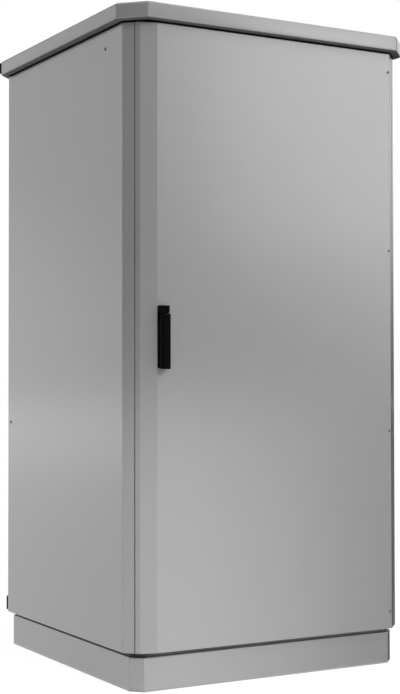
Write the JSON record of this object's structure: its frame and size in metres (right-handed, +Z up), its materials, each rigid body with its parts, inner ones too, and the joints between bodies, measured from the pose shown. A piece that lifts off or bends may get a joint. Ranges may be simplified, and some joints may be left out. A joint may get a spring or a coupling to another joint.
{
  "type": "roadside utility cabinet",
  "caption": "Floor-standing sheet-metal outdoor cabinet with chamfered corners, recessed plinth, overhanging roof hood and a hinged door locked by rods behind a swing handle.",
  "frame": {"origin": "centre of the plinth's anchor holes, on the ground under the cabinet", "axes": "+Z up, the door faces -Y, +X to the right of a viewer at the door"},
  "size_m": [1.0542, 1.057, 2.053],
  "materials": {
    "body_paint": "semi-matt grey powder coat",
    "zinc_sheet": "galvanised",
    "steel": "zinc plated",
    "frame_coat": "dark grey stove enamel",
    "black_zinc": "black passivated zinc",
    "black_plastic": "matt black",
    "rubber": "matt",
    "copper": "bare copper"
  },
  "bodies": {
    "cabinet": {"plinth": "body_paint", "plinth_bolts": "steel", "base_frame": "frame_coat", "floor_plate": "zinc_sheet", "gland_plate": "zinc_sheet", "gland_screws": "steel", "cable_grommets": "rubber", "front_left_post": "zinc_sheet", "front_right_post": "zinc_sheet", "rear_left_post": "zinc_sheet", "rear_right_post": "zinc_sheet", "front_sill": "zinc_sheet", "front_header": "zinc_sheet", "top_frame": "frame_coat", "top_plate": "zinc_sheet", "left_strut_low": "zinc_sheet", "left_strut_high": "zinc_sheet", "right_strut_low": "zinc_sheet", "right_strut_high": "zinc_sheet", "left_side_panel": "body_paint", "right_side_panel": "body_paint", "side_panel_screws": "black_zinc", "rear_panel": "body_paint", "rear_panel_screws": "black_zinc", "roof_hood": "body_paint", "roof_spacers": "frame_coat", "roof_bolts": "steel", "mounting_plate": "zinc_sheet", "plate_brackets": "steel", "plate_bolts": "steel", "earth_bar": "copper", "earth_pillars": "black_plastic", "earth_screws": "steel", "wall_buffers": "rubber", "upper_keeper": "steel", "lower_keeper": "steel", "hinge_frame_leaf_1": "steel", "hinge_frame_leaf_2": "steel", "hinge_frame_leaf_3": "steel", "hinge_frame_leaf_4": "steel", "hinge_pins": "steel"},
    "door": {"door_panel": "body_paint", "door_stiffener": "body_paint", "door_seal": "rubber", "hinge_door_leaf_1": "steel", "hinge_door_leaf_2": "steel", "hinge_door_leaf_3": "steel", "hinge_door_leaf_4": "steel", "hinge_screws": "black_zinc", "handle_plate": "black_plastic", "cylinder_housing": "black_plastic", "lock_case": "steel", "rod_guides": "black_plastic"},
    "spindle": {"handle_spindle": "steel", "lock_pinion": "steel", "lever_pin": "black_zinc"},
    "lever": {"handle_lever": "black_plastic"},
    "cylinder": {"key_cylinder": "black_plastic"},
    "upper_rod": {"upper_rod": "zinc_sheet"},
    "lower_rod": {"lower_rod": "zinc_sheet"}
  },
  "joints": [
    {"name": "door_hinge", "type": "hinge", "parent": "cabinet", "child": "door", "pos_m": [0.46946, -0.46946, 0], "axis": [0, 0, 1], "range_deg": [0, 110]},
    {"name": "handle_turn", "type": "hinge", "parent": "door", "child": "spindle", "pos_m": [-0.3955, -0.5, 0.967], "axis": [0, 1, 0], "range_deg": [0, 90]},
    {"name": "lever_pull", "type": "hinge", "parent": "spindle", "child": "lever", "pos_m": [-0.3955, -0.518, 0.967], "axis": [1, 0, 0], "range_deg": [0, 30]},
    {"name": "cylinder_turn", "type": "hinge", "parent": "door", "child": "cylinder", "pos_m": [-0.3955, -0.5, 1.1275], "axis": [0, 1, 0], "range_deg": [0, 90]},
    {"name": "upper_rod_slide", "type": "slide", "parent": "door", "child": "upper_rod", "axis": [0, 0, 1], "range_m": [-0.01885, 0]},
    {"name": "lower_rod_slide", "type": "slide", "parent": "door", "child": "lower_rod", "axis": [0, 0, 1], "range_m": [0, 0.01885]}
  ],
  "couplings": [
    {"joint": "upper_rod_slide", "follows": "handle_turn", "m_per_rad": -0.012},
    {"joint": "lower_rod_slide", "follows": "handle_turn", "m_per_rad": 0.012}
  ]
}
